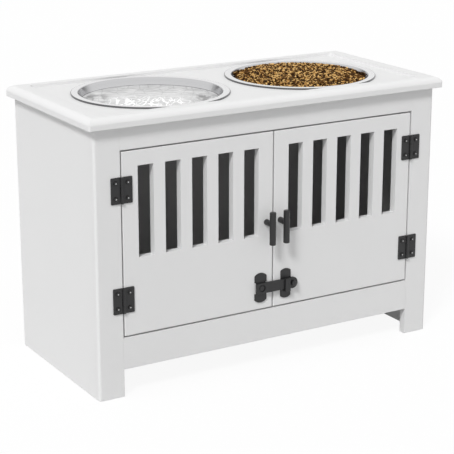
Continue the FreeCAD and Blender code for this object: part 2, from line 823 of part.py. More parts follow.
def make_leaf(node, sign, leaf_sign, level, own, other):
    x = f"({sign} * {hinge_axis})"
    blank = box(
        f"{node}_blank",
        ("sizes.leaf_width", "sizes.leaf_thickness", "sizes.hinge_height"),
        (
            x if leaf_sign > 0 else f"{x} - sizes.leaf_width",
            f"{front} - sizes.leaf_thickness",
            f"{level} - sizes.hinge_height / 2",
        ),
    )
    across = runs_along(FreeCAD.Vector(0, 1, 0))
    outer = at_level("x", f"{x} + {leaf_sign} * sizes.leaf_width")
    corners = lambda edge: across(edge) and outer(edge)
    plate = round_edges(f"{node}_plate", blank, "sizes.leaf_round", corners)
    barrel_radius = "sizes.knuckle_diameter / 2"
    clear_radius = f"{barrel_radius} + sizes.knuckle_clearance"
    notches = hinge_barrels(f"{node}_notch", sign, level, other, clear_radius, "(-sizes.knuckle_gap)")
    notched = cut(f"{node}_notched", plate, notches)
    barrels = hinge_barrels(f"{node}_own", sign, level, own, barrel_radius, "sizes.knuckle_gap")
    solid = fuse(f"{node}_solid", [notched] + barrels)
    pin_way = rod(
        f"{node}_pin_way",
        "sizes.pin_diameter / 2 + sizes.pin_clearance",
        "2 * sizes.hinge_height",
        (x, hinge_axis_out, f"{level} - sizes.hinge_height"),
        "+Z",
    )
    screw_ways = hinge_screw_rods(node, sign, leaf_sign, level)
    keep(node, cut(node, solid, [pin_way] + screw_ways))


def make_hinges(sign):
    name = side_name(sign)
    frame_screws = []
    door_screws = []
    for place_name, level in hinge_levels.items():
        make_leaf(f"{name}_{place_name}_frame_leaf", sign, sign, level, (0, 2), (1,))
        make_leaf(f"{name}_{place_name}_door_leaf", sign, -sign, level, (1,), (0, 2))
        pin_blank = rod(
            f"{name}_{place_name}_pin_blank",
            "sizes.pin_diameter / 2",
            "sizes.hinge_height",
            (f"{sign} * {hinge_axis}", hinge_axis_out, f"{level} - sizes.hinge_height / 2"),
            "+Z",
        )
        pin_node = f"{name}_{place_name}_hinge_pin"
        circles = lambda edge: edge.Curve.TypeId == "Part::GeomCircle"
        keep(pin_node, round_edges(pin_node, pin_blank, "sizes.pin_end_round", circles))
        for leaf_sign, screws in ((sign, frame_screws), (-sign, door_screws)):
            for end, step in (("low", -1), ("high", 1)):
                screws.append(
                    screw(
                        f"{name}_{place_name}_{end}_screw_{leaf_sign + 1}",
                        f"({sign} * {hinge_axis} + {leaf_sign} * sizes.hinge_screw_offset)",
                        f"({front} - sizes.leaf_thickness)",
                        f"({level} + {step} * sizes.hinge_screw_spread / 2)",
                        "sizes.head_height",
                        "sizes.hinge_screw_depth + sizes.leaf_thickness",
                        "-Y",
                    )
                )
    keep(f"{name}_frame_hinge_screws", group(f"{name}_frame_hinge_screws", frame_screws))
    keep(f"{name}_door_hinge_screws", group(f"{name}_door_hinge_screws", door_screws))


# T-bar pulls: an upright bar on one post
def make_pull(sign):
    name = side_name(sign)
    x = f"({sign} * sizes.handle_offset)"
    bar_y = f"({front} - sizes.handle_standoff)"
    low = f"({handle_level} + sizes.bar_above_post - sizes.bar_length)"
    blank = rod(f"{name}_bar_blank", "sizes.bar_diameter / 2", "sizes.bar_length", (x, bar_y, low), "+Z")
    ends = lambda edge: edge.Curve.TypeId == "Part::GeomCircle"
    keep(f"{name}_pull_bar", round_edges(f"{name}_pull_bar", blank, "sizes.bar_round", ends))

    post_blank = rod(
        f"{name}_post_blank",
        "sizes.post_diameter / 2",
        "sizes.handle_standoff",
        (x, front, handle_level),
        "-Y",
    )
    seat = rod(
        f"{name}_post_seat",
        "sizes.bar_diameter / 2 + sizes.post_seat_gap",
        "sizes.bar_length",
        (x, bar_y, low),
        "+Z",
    )
    screw_way = rod(
        f"{name}_post_screw_way",
        screw_hole,
        "2 * sizes.through_depth",
        (x, f"{front} - sizes.through_depth - sizes.shank_clearance", handle_level),
        "+Y",
    )
    keep(f"{name}_pull_post", cut(f"{name}_pull_post", post_blank, [seat, screw_way]))


# Drop-bar latch: a pivot plate, an arm with a finger knob, and a keeper that is open at its top
def plate_screw_ways(prefix, sign):
    return [
        rod(
            f"{prefix}_{place_name}_way",
            screw_hole,
            "2 * sizes.through_depth",
            (x, f"{front} - sizes.through_depth - sizes.shank_clearance", z),
            "+Y",
        )
        for place_name, x, z in through_places(sign)
        if place_name != "pull"
    ]


def latch_plate(prefix, sign, width):
    # Upright plate whose ends are shallow arcs
    x = f"({sign} * sizes.latch_offset)"
    tall, thick = "sizes.plate_height", "sizes.plate_thickness"
    strip = box(
        f"{prefix}_strip",
        (width, thick, tall),
        (f"{x} - {width} / 2", f"{front} - {thick}", f"{latch_level} - {tall} / 2"),
    )
    ends = stadium(f"{prefix}_ends", "2 * sizes.plate_end_radius", tall, thick, (x, front, latch_level))
    blank = overlap(f"{prefix}_plate", [strip, ends])
    return round_edges(f"{prefix}_softened", blank, "sizes.plate_round", at_level("y", f"{front} - {thick}"))


def make_latch():
    pivot_x = "(-sizes.latch_offset)"
    pivot_hole = "(sizes.pivot_diameter / 2 + sizes.pin_clearance)"

    # pivot plate, drawn in at its middle to a raised pad that the arm turns against
    blank = latch_plate("pivot", -1, "sizes.pivot_plate_width")
    waist_low = f"({latch_level} - sizes.waist_height / 2)"
    notches = [
        box(
            f"pivot_{side_name(sign)}_notch",
            ("sizes.pivot_plate_width", "2 * sizes.plate_thickness", "sizes.waist_height"),
            (
                f"{pivot_x} + {sign} * (sizes.waist_width + sizes.pivot_plate_width) / 2"
                " - sizes.pivot_plate_width / 2",
                f"{front} - 2 * sizes.plate_thickness",
                waist_low,
            ),
        )
        for sign in (-1, 1)
    ]
    turning_pad = box(
        "pivot_pad",
        ("sizes.waist_width", arm_back, "sizes.waist_height"),
        (f"{pivot_x} - sizes.waist_width / 2", f"{front} - {arm_back}", waist_low),
    )
    solid = fuse("pivot_solid", [cut("pivot_waisted", blank, notches), turning_pad])
    rivet_way = rod("pivot_rivet_way", pivot_hole, f"2 * {arm_front}", (pivot_x, front, latch_level), "-Y")
    ways = [rivet_way] + plate_screw_ways("pivot", -1)
    keep("latch_pivot_plate", cut("latch_pivot_plate", solid, ways))

    # keeper: a plate with a hook that the arm drops into from above
    hook_low = f"({arm_seat} - sizes.hook_wall)"
    hook_top = f"({latch_level} + sizes.arm_height / 2 + sizes.hook_rise)"
    hook_x = "(sizes.latch_offset - sizes.hook_width / 2)"
    hook_blank = box(
        "keeper_hook_blank",
        ("sizes.hook_width", hook_front, f"{hook_top} - {hook_low}"),
        (hook_x, f"{front} - {hook_front}", hook_low),
    )
    hook_softened = round_edges(
        "keeper_hook_softened", hook_blank, "sizes.plate_round", at_level("y", f"{front} - {hook_front}")
    )
    channel = box(
        "keeper_channel",
        ("2 * sizes.hook_width", channel_front, "sizes.plate_height"),
        (f"{hook_x} - sizes.hook_width / 2", f"{front} - {channel_front}", arm_seat),
    )
    hook = cut("keeper_hook", hook_softened, [channel])
    hooked = fuse("keeper_solid", [latch_plate("keeper", 1, "sizes.keeper_plate_width"), hook])
    keep("latch_keeper", cut("latch_keeper", hooked, plate_screw_ways("keeper", 1)))

    # arm: a bar with a blunt tail behind the pivot and a wider round end past the keeper
    arm_y = f"({front} - {arm_back})"
    arm_end = f"({pivot_x} + sizes.arm_reach)"
    at_pivot = (pivot_x, arm_y, latch_level)
    thick = "sizes.arm_thickness"
    web = box(
        "arm_web",
        ("sizes.arm_reach + sizes.arm_tail", thick, "sizes.arm_height"),
        (f"{pivot_x} - sizes.arm_tail", f"{front} - {arm_front}", f"{latch_level} - sizes.arm_height / 2"),
    )
    free_end = rod("arm_free_end", "sizes.arm_end_diameter / 2", thick, (arm_end, arm_y, latch_level), "-Y")
    bar = fuse("arm_bar", [web, free_end])
    at_tail = at_level("x", f"{pivot_x} - sizes.arm_tail")
    across_bar = runs_along(FreeCAD.Vector(0, 1, 0))
    blunt = round_edges(
        "arm_blunt", bar, "sizes.arm_tail_round", lambda edge: at_tail(edge) and across_bar(edge)
    )
    softened = round_edges("arm_softened", blunt, "sizes.plate_round", at_level("y", f"{front} - {arm_front}"))
    turn_way = rod("arm_turn_way", pivot_hole, f"2 * {thick}", at_pivot, "-Y")
    well_floor = f"({arm_front} - sizes.pivot_well_depth)"
    well = rod(
        "arm_well",
        "sizes.pivot_well_diameter / 2",
        "2 * sizes.pivot_well_depth",
        (pivot_x, f"{front} - {well_floor}", latch_level),
        "-Y",
    )
    keep("latch_arm", cut("latch_arm", softened, [turn_way, well]))

    # rivet with a dished head, sunk in the arm's well
    head_seat = f"({well_floor} + sizes.pivot_head_gap)"
    head_front = f"({head_seat} + sizes.pivot_head_height)"
    shank = rod("rivet_shank", "sizes.pivot_diameter / 2", head_seat, (pivot_x, front, latch_level), "-Y")
    head = rod(
        "rivet_head",
        "sizes.pivot_head_diameter / 2",
        "sizes.pivot_head_height",
        (pivot_x, f"{front} - {head_seat}", latch_level),
        "-Y",
    )
    dimple = doc.addObject("Part::Sphere", "rivet_dimple")
    dimple.setExpression("Radius", "sizes.pivot_dimple")
    dish = "(sizes.pivot_head_height / 2)"
    place(dimple, (pivot_x, f"{front} - {head_front} - sizes.pivot_dimple + {dish}", latch_level))
    keep("latch_rivet", cut("latch_rivet", fuse("rivet_blank", [shank, head]), [dimple]))

    # finger knob on the arm's free end
    knob_blank = rod(
        "knob_blank",
        "sizes.knob_diameter / 2",
        "sizes.knob_height",
        (arm_end, f"{front} - {arm_front}", latch_level),
        "-Y",
    )
    crown = at_level("y", f"{front} - {arm_front} - sizes.knob_height")
    keep("latch_knob", round_edges("latch_knob", knob_blank, "sizes.knob_round", crown))


def check_and_export():
    doc.recompute()
    for piece in doc.Objects:
        if "Invalid" in piece.State or "Error" in piece.State:
            raise RuntimeError(f"{piece.Name} did not build: {piece.State}")
    os.makedirs("parts", exist_ok=True)
    for node, piece in nodes.items():
        shape = piece.Shape
        if shape.isNull() or not shape.isValid() or not shape.Solids:
            raise RuntimeError(f"{node} has no valid solid")
    for node, piece in nodes.items():
        piece.Shape.exportStep(f"parts/{node}.step")
        print(f"{node}: {len(piece.Shape.Solids)} solid, {piece.Shape.Volume:.0f} mm3")


make_cabinet()
make_cam_fittings()
make_top_board()
for door_sign in (-1, 1):
    make_bowl(door_sign)
    make_door(door_sign)
    make_hinges(door_sign)
    make_pull(door_sign)
    make_through_screws(door_sign)
make_food()
make_latch()
check_and_export()
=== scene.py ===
import json
import math
import random

import bmesh
import bpy
from mathutils import Euler, Matrix, Vector, noise


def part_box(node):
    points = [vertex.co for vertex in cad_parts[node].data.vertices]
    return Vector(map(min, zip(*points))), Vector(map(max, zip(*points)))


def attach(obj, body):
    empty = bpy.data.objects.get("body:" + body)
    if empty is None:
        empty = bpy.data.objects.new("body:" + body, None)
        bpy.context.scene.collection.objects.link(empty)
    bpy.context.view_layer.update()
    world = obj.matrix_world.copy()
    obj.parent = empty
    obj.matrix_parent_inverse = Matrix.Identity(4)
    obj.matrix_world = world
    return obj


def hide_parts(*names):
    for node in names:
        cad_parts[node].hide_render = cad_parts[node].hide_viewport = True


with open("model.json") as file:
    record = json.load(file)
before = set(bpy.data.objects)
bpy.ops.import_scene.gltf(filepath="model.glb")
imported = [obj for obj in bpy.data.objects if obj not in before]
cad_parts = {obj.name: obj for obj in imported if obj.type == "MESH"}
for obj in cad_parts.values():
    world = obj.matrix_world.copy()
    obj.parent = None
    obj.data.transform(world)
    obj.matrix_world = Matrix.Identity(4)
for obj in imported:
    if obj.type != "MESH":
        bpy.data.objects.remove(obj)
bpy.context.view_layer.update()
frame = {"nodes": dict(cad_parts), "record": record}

cadNodes = frame["nodes"]
scene = bpy.context.scene
scene.view_settings.view_transform = "Standard"
print("frame loaded:", len(cadNodes), "nodes")


# ways to make nodes and objects that the pieces below share

def addNode(tree, kind, sockets=None, **settings):
    node = tree.nodes.new(kind)
    for key, value in settings.items():
        setattr(node, key, value)
    for key, value in (sockets or {}).items():
        if isinstance(value, bpy.types.NodeSocket):
            tree.links.new(value, node.inputs[key])
        else:
            node.inputs[key].default_value = value
    return node


def emptyTree(owner):
    owner.use_nodes = True
    owner.node_tree.nodes.clear()
    return owner.node_tree


def finishMaterial(tree, shader):
    output = addNode(tree, "ShaderNodeOutputMaterial")
    tree.links.new(shader, output.inputs["Surface"])


def mixColours(tree, amount, first, second):
    mix = addNode(tree, "ShaderNodeMix", data_type="RGBA")
    for socket, value in ((mix.inputs[0], amount), (mix.inputs[6], first), (mix.inputs[7], second)):
        if isinstance(value, bpy.types.NodeSocket):
            tree.links.new(value, socket)
        else:
            socket.default_value = value
    return mix.outputs[2]


def spread(tree, value, low, high, start=0.0, stop=1.0):
    # smooth change from low to high while the value goes from start to stop
    ranged = addNode(tree, "ShaderNodeMapRange", {
        "Value": value, "From Min": start, "From Max": stop, "To Min": low, "To Max": high,
    }, interpolation_type="SMOOTHSTEP")
    return ranged.outputs["Result"]


def compute(tree, operation, first, second=0.0):
    return addNode(tree, "ShaderNodeMath", {0: first, 1: second}, operation=operation).outputs[0]


def grey(level):
    return (level, level, level, 1)


def newPiece(name, mesh, material):
    piece = bpy.data.objects.new(name, mesh)
    mesh.materials.append(material)
    scene.collection.objects.link(piece)
    return piece


def dress(material, *names):
    for name in names:
        cadNodes[name].material_slots[0].material = material


# shared effect: slow blotches and a fine grain, both from 0 to 1

def makeGrainGroup():
    group = bpy.data.node_groups.new("surfaceGrain", "ShaderNodeTree")
    face = group.interface
    for name, value in (("Blotch Scale", 8.0), ("Grain Scale", 900.0)):
        face.new_socket(name, in_out="INPUT", socket_type="NodeSocketFloat").default_value = value
    for name in ("Blotch", "Grain"):
        face.new_socket(name, in_out="OUTPUT", socket_type="NodeSocketFloat")
    taken = addNode(group, "NodeGroupInput")
    given = addNode(group, "NodeGroupOutput")
    place = addNode(group, "ShaderNodeTexCoord").outputs["Object"]
    blotch = addNode(group, "ShaderNodeTexNoise",
                     {"Vector": place, "Scale": taken.outputs["Blotch Scale"], "Detail": 4, "Roughness": 0.6})
    grain = addNode(group, "ShaderNodeTexNoise",
                    {"Vector": place, "Scale": taken.outputs["Grain Scale"], "Detail": 2, "Roughness": 0.5})
    group.links.new(blotch.outputs["Fac"], given.inputs["Blotch"])
    group.links.new(grain.outputs["Fac"], given.inputs["Grain"])
    return group


grainGroup = makeGrainGroup()


def useGrain(tree, blotchScale, grainScale):
    node = addNode(tree, "ShaderNodeGroup", node_tree=grainGroup)
    node.inputs["Blotch Scale"].default_value = blotchScale
    node.inputs["Grain Scale"].default_value = grainScale
    return node.outputs["Blotch"], node.outputs["Grain"]


def softEdgeBump(tree, height, strength, depth, edge):
    # bump over normals that turn smoothly round the board edges
    rounded = addNode(tree, "ShaderNodeBevel", {"Radius": edge}, samples=4)
    bump = addNode(tree, "ShaderNodeBump", {
        "Strength": strength, "Distance": depth, "Height": height, "Normal": rounded.outputs["Normal"],
    })
    return bump.outputs["Normal"]


# satin white paint on the boards, with painted shade: greyer inside the cabinet, where little light gets in

whitePaint = {
    "light": grey(0.82),
    "dark": grey(0.79),
    # painted shade: the boards are greyer inside the cabinet, where little light gets in
    "inside": grey(0.52),
    "insideHalf": 0.2785,    # half the clear width between the side panels
    "insideFront": -0.1138,
    "insideTop": 0.3958,
    "skin": 0.0005,          # how far into the back and floor panels the painted inside shade goes
    "roughness": (0.40, 0.52),
    "blotchScale": 7,
    "grainScale": 1100,      # sprayed paint, about a millimetre
    "bumpStrength": 0.10,
    "bumpDepth": 0.0003,
    "edge": 0.0008,
}


def insideShadeMask(tree):
    # 1 on faces that look into the cabinet, which get the painted inside shade
    made = whitePaint
    place = addNode(tree, "ShaderNodeTexCoord").outputs["Object"]
    apart = addNode(tree, "ShaderNodeSeparateXYZ", {"Vector": place}).outputs
    between = compute(tree, "LESS_THAN", compute(tree, "ABSOLUTE", apart["X"]), made["insideHalf"])
    behind = compute(tree, "GREATER_THAN", apart["Y"], made["insideFront"])
    before = compute(tree, "LESS_THAN", apart["Y"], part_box("back_panel")[0].y + made["skin"])
    below = compute(tree, "LESS_THAN", apart["Z"], made["insideTop"])
    above = compute(tree, "GREATER_THAN", apart["Z"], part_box("floor_panel")[0].z + made["skin"])
    inDepth = compute(tree, "MULTIPLY", behind, before)
    inHeight = compute(tree, "MULTIPLY", below, above)
    return compute(tree, "MULTIPLY", between, compute(tree, "MULTIPLY", inDepth, inHeight))


def makeWhitePaint():
    made = whitePaint
    material = bpy.data.materials.new("whitePaint")
    tree = emptyTree(material)
    blotch, grain = useGrain(tree, made["blotchScale"], made["grainScale"])
    outside = mixColours(tree, blotch, made["dark"], made["light"])
    shader = addNode(tree, "ShaderNodeBsdfPrincipled", {
        "Base Color": mixColours(tree, insideShadeMask(tree), outside, made["inside"]),
        "Roughness": spread(tree, blotch, *made["roughness"]),
        "Normal": softEdgeBump(tree, grain, made["bumpStrength"], made["bumpDepth"], made["edge"]),
        "Specular IOR Level": 0.35,
    })
    finishMaterial(tree, shader.outputs["BSDF"])
    return material


# black powder coat on the hinges, pulls and latch

blackCoat = {
    "light": (0.022, 0.022, 0.023, 1),
    "dark": (0.011, 0.011, 0.0115, 1),
    "roughness": (0.32, 0.48),
    "blotchScale": 40,
    "grainScale": 2600,
    "bumpStrength": 0.18,
    "bumpDepth": 0.0002,
    "edge": 0.0004,
}


def makeBlackCoat():
    made = blackCoat
    material = bpy.data.materials.new("blackCoat")
    tree = emptyTree(material)
    blotch, grain = useGrain(tree, made["blotchScale"], made["grainScale"])
    shader = addNode(tree, "ShaderNodeBsdfPrincipled", {
        "Base Color": mixColours(tree, blotch, made["dark"], made["light"]),
        "Roughness": spread(tree, blotch, *made["roughness"]),
        "Normal": softEdgeBump(tree, grain, made["bumpStrength"], made["bumpDepth"], made["edge"]),
        "Specular IOR Level": 0.5,
    })
    finishMaterial(tree, shader.outputs["BSDF"])
    return material


# hinge screws: blacker than the leaves, a painted shade ring round each head, with a painted highlight in the
# middle of each head

hingeScrews = {
    # painted shade: the heads are darker than the leaves, a dark ring round the painted highlight
    "coat": (0.006, 0.006, 0.0062, 1),
    # painted highlight: bright metal in the middle of each head
    "paintedHighlight": (0.50, 0.50, 0.50, 1),
    "paintedHighlightRadius": (0.0006, 0.0013),
    "spread": 0.0225,        # between the two screws of a leaf
    "roughness": (0.22, 0.34),
    "blotchScale": 300,
    "grainScale": 2600,
}


def boxMiddle(node):
    low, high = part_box(node)
    return (low + high) / 2


def nearestGap(tree, value, places):
    nearest = None
    for place in places:
        gap = compute(tree, "ABSOLUTE", compute(tree, "SUBTRACT", value, place))
        nearest = gap if nearest is None else compute(tree, "MINIMUM", nearest, gap)
    return nearest


def makeScrewCoat():
    made = hingeScrews
    material = bpy.data.materials.new("blackScrews")
    tree = emptyTree(material)
    columns = [abs(boxMiddle(f"left_{leaf}_hinge_screws").x) for leaf in ("frame", "door")]
    levels = [boxMiddle(f"left_{height}_door_leaf").z + step * made["spread"] / 2
              for height in ("upper", "lower") for step in (-1, 1)]
    place = addNode(tree, "ShaderNodeTexCoord").outputs["Object"]
    apart = addNode(tree, "ShaderNodeSeparateXYZ", {"Vector": place}).outputs
    across = nearestGap(tree, compute(tree, "ABSOLUTE", apart["X"]), columns)
    upright = nearestGap(tree, apart["Z"], levels)
    flat = addNode(tree, "ShaderNodeCombineXYZ", {"X": across, "Y": upright}).outputs[0]
    radius = addNode(tree, "ShaderNodeVectorMath", {0: flat}, operation="LENGTH").outputs["Value"]
    # painted highlight: bright metal in the middle of each screw head
    paintedHighlight = spread(tree, radius, 1.0, 0.0, *made["paintedHighlightRadius"])
    blotch, grain = useGrain(tree, made["blotchScale"], made["grainScale"])
    bump = addNode(tree, "ShaderNodeBump", {"Strength": 0.05, "Distance": 0.0002, "Height": grain})
    shader = addNode(tree, "ShaderNodeBsdfPrincipled", {
        "Base Color": mixColours(tree, paintedHighlight, made["coat"], made["paintedHighlight"]),
        "Metallic": paintedHighlight,
        "Roughness": spread(tree, blotch, *made["roughness"], 0.3, 0.7),
        "Normal": bump.outputs["Normal"],
        "Specular IOR Level": 0.5,
    })
    finishMaterial(tree, shader.outputs["BSDF"])
    return material


# spun stainless steel of the bowls, with faint rings round each bowl's own middle; the rim is painted lighter
# than the wall, lit and shaded tones of the one steel

bowlSteel = {
    # painted light: rim lighter, wall darker, lit and shaded copies of the one steel
    "rim": (0.78, 0.78, 0.785, 1),
    "wall": (0.62, 0.62, 0.63, 1),
    "lipRadius": (0.1062, 0.1078),        # where the wall turns into the rim
    "ringShade": 0.90,
    "edgeLine": (0.16, 0.16, 0.165, 1),   # shadowed outer edge of the rim
    "edgeRadius": (0.1160, 0.1168),
    "roughness": (0.08, 0.14),
    "ringScale": 900,
    "blotchScale": 30,
    "grainScale": 1500,
    "bumpStrength": 0.03,
    "bumpDepth": 0.0004,
}


def makeBowlSteel():
    made = bowlSteel
    middle = boxMiddle("right_bowl")   # the left bowl stands opposite
    material = bpy.data.materials.new("bowlSteel")
    tree = emptyTree(material)
    place = addNode(tree, "ShaderNodeTexCoord").outputs["Object"]
    apart = addNode(tree, "ShaderNodeSeparateXYZ", {"Vector": place}).outputs
    across = compute(tree, "SUBTRACT", compute(tree, "ABSOLUTE", apart["X"]), middle.x)
    along = compute(tree, "SUBTRACT", apart["Y"], middle.y)
    flat = addNode(tree, "ShaderNodeCombineXYZ", {"X": across, "Y": along}).outputs[0]
    radius = addNode(tree, "ShaderNodeVectorMath", {0: flat}, operation="LENGTH").outputs["Value"]
    down = compute(tree, "SUBTRACT", radius, apart["Z"])
    rings = addNode(tree, "ShaderNodeTexNoise", {"W": down, "Scale": made["ringScale"], "Detail": 3},
                    noise_dimensions="1D").outputs["Fac"]
    blotch = useGrain(tree, made["blotchScale"], made["grainScale"])[0]
    bump = addNode(tree, "ShaderNodeBump", {
        "Strength": made["bumpStrength"], "Distance": made["bumpDepth"], "Height": blotch})
    # painted light: the rim's ring lighter than the wall
    plain = mixColours(tree, spread(tree, radius, 0.0, 1.0, *made["lipRadius"]), made["wall"], made["rim"])
    shaded = addNode(tree, "ShaderNodeMix", {0: 1.0}, data_type="RGBA", blend_type="MULTIPLY")
    tree.links.new(plain, shaded.inputs[6])
    tree.links.new(spread(tree, rings, made["ringShade"], 1.0, 0.3, 0.7), shaded.inputs[7])
    spun = shaded.outputs[2]
    atEdge = spread(tree, radius, 0.0, 1.0, *made["edgeRadius"])
    shader = addNode(tree, "ShaderNodeBsdfPrincipled", {
        "Base Color": mixColours(tree, atEdge, spun, made["edgeLine"]),
        "Metallic": 1.0,
        "Roughness": spread(tree, rings, *made["roughness"], 0.3, 0.7),
        "Normal": bump.outputs["Normal"],
    })
    finishMaterial(tree, shader.outputs["BSDF"])
    return material


# bright zinc plate on the inner fittings

zincPlate = {
    "light": (0.66, 0.66, 0.64, 1),
    "dark": (0.48, 0.49, 0.50, 1),
    "roughness": (0.24, 0.42),
    "blotchScale": 220,
    "grainScale": 3000,
}


def makeZincPlate():
    made = zincPlate
    material = bpy.data.materials.new("zincPlate")
    tree = emptyTree(material)
    blotch, grain = useGrain(tree, made["blotchScale"], made["grainScale"])
    bump = addNode(tree, "ShaderNodeBump", {"Strength": 0.08, "Distance": 0.0002, "Height": grain})
    shader = addNode(tree, "ShaderNodeBsdfPrincipled", {
        "Base Color": mixColours(tree, blotch, made["dark"], made["light"]),
        "Metallic": 1.0,
        "Roughness": spread(tree, grain, *made["roughness"]),
        "Normal": bump.outputs["Normal"],
    })
    finishMaterial(tree, shader.outputs["BSDF"])
    return material


# bare beech of the dowels, with its grain along the dowel

bareBeech = {
    "light": (0.62, 0.43, 0.26, 1),
    "dark": (0.44, 0.28, 0.15, 1),
    "stretch": (30, 700, 700),
    "roughness": (0.55, 0.75),
}


def makeBareBeech():
    made = bareBeech
    material = bpy.data.materials.new("bareBeech")
    tree = emptyTree(material)
    place = addNode(tree, "ShaderNodeTexCoord").outputs["Object"]
    drawn = addNode(tree, "ShaderNodeMapping", {"Vector": place, "Scale": made["stretch"]})
    streak = addNode(tree, "ShaderNodeTexNoise",
                     {"Vector": drawn.outputs[0], "Scale": 1, "Detail": 4}).outputs["Fac"]
    bump = addNode(tree, "ShaderNodeBump", {"Strength": 0.2, "Distance": 0.0003, "Height": streak})
    shader = addNode(tree, "ShaderNodeBsdfPrincipled", {
        "Base Color": mixColours(tree, streak, made["dark"], made["light"]),
        "Roughness": spread(tree, streak, *made["roughness"]),
        "Normal": bump.outputs["Normal"],
    })
    finishMaterial(tree, shader.outputs["BSDF"])
    return material


paint = makeWhitePaint()
coat = makeBlackCoat()
screwCoat = makeScrewCoat()
steel = makeBowlSteel()
zinc = makeZincPlate()
beech = makeBareBeech()
slotMaterials = {
    "painted_board": paint,
    "black_metal": coat,
    "bowl_steel": steel,
    "plated_steel": zinc,
    "plain_wood": beech,
}
for subpart in frame["record"]["subparts"]:
    if subpart["material_slot"] in slotMaterials:
        dress(slotMaterials[subpart["material_slot"]], subpart["node"])
for side in ("left", "right"):
    dress(screwCoat, f"{side}_frame_hinge_screws", f"{side}_door_hinge_screws")
print("CAD nodes dressed")


# where the bowls are, read from the model

def bowlMiddle(node):
    low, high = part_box(node)
    return Vector(((low.x + high.x) / 2, (low.y + high.y) / 2, high.z))


bowlWall = {
    "mouthRadius": 0.1065,   # inside of the wall at the rim's top
    "footRadius": 0.085,
    "depth": 0.0635,         # rim top to the inside of the foot
    "bend": 0.023,
    "bendSteps": 8,
    "clear": 0.0005,         # contents to steel
}


def wallRadius(drop):
    # inside radius of the straight part of the wall, some way below the rim's top
    made = bowlWall
    return made["mouthRadius"] - (made["mouthRadius"] - made["footRadius"]) * drop / made["depth"]


def insideProfile(drop):
    # corner points of the inside from the middle of the foot up to a level
    made = bowlWall
    lean = math.atan2(made["mouthRadius"] - made["footRadius"], made["depth"])
    tangent = made["bend"] * math.tan((math.pi / 2 - lean) / 2)
    centre = Vector((made["footRadius"] - tangent, 0, -made["depth"] + made["bend"]))
    points = [Vector((0, 0, -made["depth"]))]
    turn = math.pi / 2 - lean
    for step in range(made["bendSteps"] + 1):
        angle = turn * step / made["bendSteps"]
        points.append(centre + made["bend"] * Vector((math.sin(angle), 0, -math.cos(angle))))
    points.append(Vector((wallRadius(drop), 0, -drop)))
    inset = made["clear"]
    return [Vector((max(p.x - inset, 0), 0, p.z + (inset if p.z < -drop else 0))) for p in points]


def spinProfile(points, steps):
    bm = bmesh.new()
    verts = [bm.verts.new(p) for p in points]
    edges = [bm.edges.new(pair) for pair in zip(verts, verts[1:])]
    bmesh.ops.spin(bm, geom=verts + edges, cent=(0, 0, 0), axis=(0, 0, 1), angle=math.tau, steps=steps,
                   use_merge=True)
    bmesh.ops.remove_doubles(bm, verts=bm.verts, dist=1e-6)
    bmesh.ops.recalc_face_normals(bm, faces=bm.faces)
    return bm


def finishMesh(bm, name):
    mesh = bpy.data.meshes.new(name)
    bm.to_mesh(mesh)
    bm.free()
    for polygon in mesh.polygons:
        polygon.use_smooth = True
    return mesh


# water in the left bowl

waterServing = {
    "drop": 0.0115,          # rim top to the water
    "rings": 44,
    "steps": 180,
    # height, length and heading of each
    "waves": [(0.0005, 0.034, 0.6), (0.0004, 0.023, 2.3), (0.0003, 0.016, 4.0)],
    "chopHeight": 0.0007,
    "chopScale": 38,
    "calmEdge": 0.012,       # ripples die away toward the wall
    "clearness": 0.30,       # the rest is the milky glow of lit water
    "colour": grey(0.90),
    "shade": grey(0.79),
    # painted highlight: white streaks
    "streak": grey(1.0),
    "darkReflection": grey(0.22),     # painted dark reflections on the ripples beside the bright streaks
    "glint": grey(0.46),     # painted glow: emission standing in for light that the ripples gather
    # painted dark line, the meniscus's reflection, where the water meets the wall
    "shoreLine": grey(0.10),
    "shoreWidth": 0.0022,
    "streakScale": 46,
    "fineTimes": 2.1,        # finer streaks between the wide ones
    "fineShare": 0.8,
    "streakWarp": (0.016, 0.008),
    "streakWidth": (0.055, 0.070),
    "streakBreaks": (0.34, 0.44),
    "streakReach": (-0.025, 0.035),
    "streakHalf": (0.045, 0.070),
    "slopeStart": (0.055, 0.075),
    "slopeReach": (0.010, 0.040),
    "slopeBreaks": (0.40, 0.56),
    "slopeShare": 0.9,
    "lineShade": 0.30,       # painted dark reflection lines where no streaks gather
    "run": -31.0,            # degrees, heading of the frame in which the painted streaks and dark reflections are laid out
    "stretch": 0.42,
    "roughness": (0.03, 0.10),
}


def rippleHeight(x, y, radius):
    made = waterServing
    height = 0
    for tall, length, heading in made["waves"]:
        run = x * math.cos(heading) + y * math.sin(heading)
        height += tall * math.sin(math.tau * run / length)
    spot = Vector((x, y, 0)) * made["chopScale"]
    height += made["chopHeight"] * noise.noise(spot)
    height += made["chopHeight"] * 0.5 * noise.noise(spot * 2.3)
    calm = min(1, (radius - math.hypot(x, y)) / made["calmEdge"])
    return height * max(calm, 0)


def streakMask(tree, place, scale, warp, width):
    # thin bright lines between warped cells, like light gathered by ripples
    noisy = addNode(tree, "ShaderNodeTexNoise", {"Vector": place, "Scale": scale * 0.7, "Detail": 2})
    shake = addNode(tree, "ShaderNodeVectorMath", {0: noisy.outputs["Color"], 1: (warp, warp, 0)},
                    operation="MULTIPLY")
    moved = addNode(tree, "ShaderNodeVectorMath", {0: place, 1: shake.outputs[0]}, operation="ADD")
    cells = addNode(tree, "ShaderNodeTexVoronoi", {"Vector": moved.outputs[0], "Scale": scale},
                    feature="DISTANCE_TO_EDGE")
    return spread(tree, cells.outputs["Distance"], 1.0, 0.0, 0.0, width)


